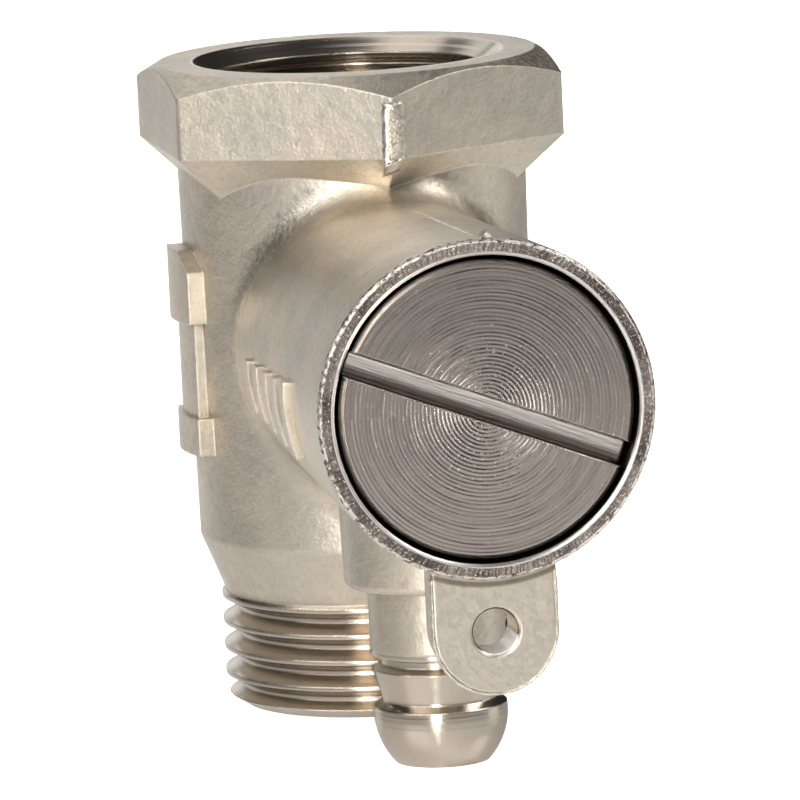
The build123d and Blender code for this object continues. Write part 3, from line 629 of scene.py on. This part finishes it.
class Spring:
    """A compression spring with closed, ground ends, between two heights on its own axis."""

    SIDES = 16           # round the wire
    STEPS = 56           # along the wire, to a turn
    CLOSED = 0.9         # turns wound close at each end
    CLOSED_PITCH = 1.02  # of those turns, in wire thicknesses
    SUNK = 0.3           # height of each end's centre, in wire thicknesses: the rest is ground away

    def __init__(self, radius, wire, low, high, turns, place):
        self.radius, self.wire, self.low, self.high = radius, wire, low, high
        self.turns, self.place = turns, place

    def height(self, turn):
        """Height of the wire's centre after some turns: close-wound at each end, open between."""
        start, end = self.low + self.SUNK * self.wire, self.high - self.SUNK * self.wire
        closed_rise = self.CLOSED * self.CLOSED_PITCH * self.wire
        pitch = (end - start - 2 * closed_rise) / (self.turns - 2 * self.CLOSED)
        if turn < self.CLOSED:
            return start + closed_rise * turn / self.CLOSED
        if turn > self.turns - self.CLOSED:
            return end - closed_rise * (self.turns - turn) / self.CLOSED
        return start + closed_rise + pitch * (turn - self.CLOSED)

    def centre(self, turn):
        angle = 2 * math.pi * turn
        return Vector((self.radius * math.cos(angle), self.radius * math.sin(angle), self.height(turn)))

    def piece(self, name, first, last, material):
        """The wire from one turn to another as a closed mesh, its end turns ground flat."""
        count = round((last - first) * self.STEPS)
        points = []
        for step in range(count + 1):
            turn = first + (last - first) * step / count
            centre = self.centre(turn)
            outward = Vector((centre.x, centre.y, 0)).normalized()
            ahead = (self.centre(turn + 1e-3) - self.centre(turn - 1e-3)).normalized()
            up = outward.cross(ahead).normalized()
            for side in range(self.SIDES):
                angle = 2 * math.pi * side / self.SIDES
                point = centre + (outward * math.cos(angle) + up * math.sin(angle)) * self.wire / 2
                point.z = min(max(point.z, self.low), self.high)
                points.append(self.place(point))
        faces = [tuple(range(self.SIDES))[::-1]]
        for step in range(count):
            for side in range(self.SIDES):
                after = (side + 1) % self.SIDES
                a, b = step * self.SIDES, (step + 1) * self.SIDES
                faces.append((a + side, a + after, b + after, b + side))
        faces.append(tuple(count * self.SIDES + side for side in range(self.SIDES)))
        return mesh_piece(name, points, faces, material)


def check_spring(material):
    """Light spring between the check poppet and its guide, drawn once at the CAD node's length in its place; on
    the real valve it shortens as the poppet lifts.
    """
    low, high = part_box("check_spring")
    spring = Spring(4.4 * MM, 0.6 * MM, low.z, high.z, 4.5, upright)
    made = spring.piece("check_spring_wire", 0, spring.turns, material)
    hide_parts("check_spring")
    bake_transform(made)


def relief_spring(material):
    """Strong spring behind the relief disc, drawn as two lengths that meet at a turn where the wire stands still:
    on the real valve its inner turns shorten as the disc lifts and its last turn follows the spring seat."""
    low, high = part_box("relief_spring")
    inner, outer = -high.y, -low.y
    spring = Spring(5.5 * MM, 1.6 * MM, inner, outer, 4.6, lying)
    meeting_turn = 3.3
    coils = spring.piece("relief_spring_coils", 0, meeting_turn, material)
    last = spring.piece("relief_spring_last_turn", meeting_turn, spring.turns, material)
    for made in (coils, last):
        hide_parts("relief_spring")
    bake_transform(coils)
    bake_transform(last)


def torn_rim(material):
    """The band torn out of the rim's face, standing in the shallow hollow between lip and outer edge."""
    draw = random.Random(7)
    inner, outer = 10.34 * MM, 10.99 * MM
    rows, steps = 13, 1200
    back, front = BRANCH_END_Y + 0.22 * MM, BRANCH_END_Y + 0.005 * MM
    tear_depth, grit_depth = 0.11 * MM, 0.04 * MM
    waves = [(draw.randint(30, 420), draw.uniform(0, 2 * math.pi), draw.uniform(0.4, 1.0)) for _ in range(30)]
    points = []
    for step in range(steps):
        angle = 2 * math.pi * step / steps
        for row in range(rows):
            share = row / (rows - 1)
            swell = sum(size * math.sin(count * angle + phase + 2.9 * share) for count, phase, size in waves)
            tear = 0.5 + 0.5 * math.tanh(0.45 * swell)
            edge = min(1.0, 3 * min(share, 1 - share))
            depth = edge * (tear_depth * tear + draw.uniform(0, grit_depth))
            radius = inner + (outer - inner) * share
            y = back if row in (0, rows - 1) else front + depth
            points.append((radius * math.cos(angle), y, BRANCH_Z + radius * math.sin(angle)))
    faces = []
    for step in range(steps):
        a, b = step * rows, (step + 1) % steps * rows
        faces += [(a + row, a + row + 1, b + row + 1, b + row) for row in range(rows - 1)]
        faces.append((a + rows - 1, a, b, b + rows - 1))
    made = mesh_piece("rim_torn_band", points, faces, material)
    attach(made, "body")


def traced(tree, rays):
    """Where rays, each a start and a direction, meet the forging, with the surface's normal there."""
    found = []
    for start, direction in rays:
        point, normal, _, _ = tree.ray_cast(Vector(start), Vector(direction))
        if point is not None:
            found.append((point, normal))
    return found


def flash_ridge(name, trace, width, height, material, draw):
    """Trimmed flash: a low uneven rib along the traced line, its edges sunk just under the surface."""
    across = (-0.5, -0.34, -0.15, 0.08, 0.30, 0.5)
    sunk = 0.05 * MM
    points, faces, swell = [], [], 0.8
    last = len(trace) - 1
    for index, (point, normal) in enumerate(trace):
        before, after = trace[max(index - 1, 0)][0], trace[min(index + 1, last)][0]
        side = (after - before).cross(normal).normalized()
        swell = 0.7 * swell + 0.3 * draw.uniform(0.3, 1.5)
        ends = min(1.0, index / 4, (last - index) / 4)
        shift = draw.uniform(-0.06, 0.06) * width
        for share in across:
            crown = math.cos(math.pi * share) ** 1.5 if abs(share) < 0.5 else -0.8
            rise = height * swell * ends * crown if crown > 0 else -sunk
            points.append(point + side * (width * share * (0.8 + 0.3 * swell) + shift) + normal * rise)
    count = len(across)
    for index in range(last):
        a, b = count * index, count * (index + 1)
        faces += [(a + k, b + k, b + (k + 1) % count, a + (k + 1) % count) for k in range(count)]
    faces += [tuple(range(count)), tuple(count * last + k for k in reversed(range(count)))]
    made = mesh_piece(name, points, faces, material)
    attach(made, "body")


def steps_between(low, high, pitch=0.30 * MM):
    """Evenly spaced values from low to high, both included, about a pitch apart."""
    count = max(4, round(abs(high - low) / pitch))
    return [low + (high - low) * k / count for k in range(count + 1)]


def ear_rays(edge_y):
    """Rays that meet the ear's outline at one depth: down one side, round its end and up the other side."""
    heights = steps_between(EAR_HOLE_Z, EAR_TOP_Z, 0.22 * MM)
    rays = [((-OUTSIDE, edge_y, z), (1, 0, 0)) for z in reversed(heights)]
    for degree in range(183, 360, 3):
        out = Vector((math.cos(math.radians(degree)), 0, math.sin(math.radians(degree))))
        rays.append((Vector((0, edge_y, EAR_HOLE_Z)) + out * OUTSIDE, -out))
    return rays + [((OUTSIDE, edge_y, z), (-1, 0, 0)) for z in heights]


def parting_flash(material):
    """Flash in the plane of both axes, and round the front edge of the ear."""
    draw = random.Random(11)
    mesh = NODES["valve_body"].data
    tree = BVHTree.FromPolygons([v.co for v in mesh.vertices], [p.vertices for p in mesh.polygons])
    ear_face_y = traced(tree, [((EAR_SIDE_X, -OUTSIDE, EAR_HOLE_Z), (0, 1, 0))])[0][0].y
    top = [((0, y, UNDER_HEX_Z), (0, 0, -1)) for y in steps_between(*FLASH_TOP_Y)]
    corner = [((0, -OUTSIDE, z), (0, 1, 0)) for z in steps_between(*FLASH_CORNER_Z)]
    back = [((0, OUTSIDE, z), (0, -1, 0)) for z in steps_between(*FLASH_BACK_Z)]
    under_branch = [((0, y, -OUTSIDE), (0, 0, 1)) for y in steps_between(*FLASH_UNDER_Y)]
    ridges = (
        ("flash_ear_edge", ear_rays(ear_face_y + EAR_EDGE_DEPTH), 0.50 * MM, 0.07 * MM),
        ("flash_branch_top", top, 0.50 * MM, 0.06 * MM),
        ("flash_hex_corner", corner, 1.50 * MM, 0.04 * MM),
        ("flash_back", back, 0.50 * MM, 0.06 * MM),
        ("flash_branch_under", under_branch, 0.50 * MM, 0.06 * MM),
    )
    for name, rays, width, height in ridges:
        flash_ridge(name, traced(tree, rays), width, height, material, draw)


def dress(node_names, material):
    """Gives CAD nodes a material in place of the plain one that they come with."""
    for name in node_names:
        for slot in NODES[name].material_slots:
            slot.material = material


def main():
    camera()
    floor()
    studio_light()
    wire = drawn_wire()
    upright_brass = turned_metal("turned_brass_upright", LIGHT_BRASS, DARK_BRASS, 0.26)
    lying_brass = turned_metal("turned_brass_lying", LIGHT_BRASS, DARK_BRASS, 0.26, axis=1)
    steel = turned_metal("turned_stainless", (0.68, 0.68, 0.67), (0.55, 0.55, 0.55), 0.22)
    dress(["valve_body"], forged_nickel())
    dress(["adjusting_plug"], faced_nickel())
    dress(["check_seat", "check_poppet", "check_guide"], upright_brass)
    dress(["relief_seat", "relief_disc_holder", "spring_seat"], lying_brass)
    dress(["check_seal_washer", "check_seal_screw", "relief_seal_washer", "relief_seal_screw",
           "relief_spring_washer"], steel)
    dress(["check_circlip"], wire)
    dress(["check_seal", "relief_seal"], seal_rubber())
    check_spring(wire)
    relief_spring(wire)
    torn_rim(torn_nickel())
    parting_flash(flash_nickel())


main()
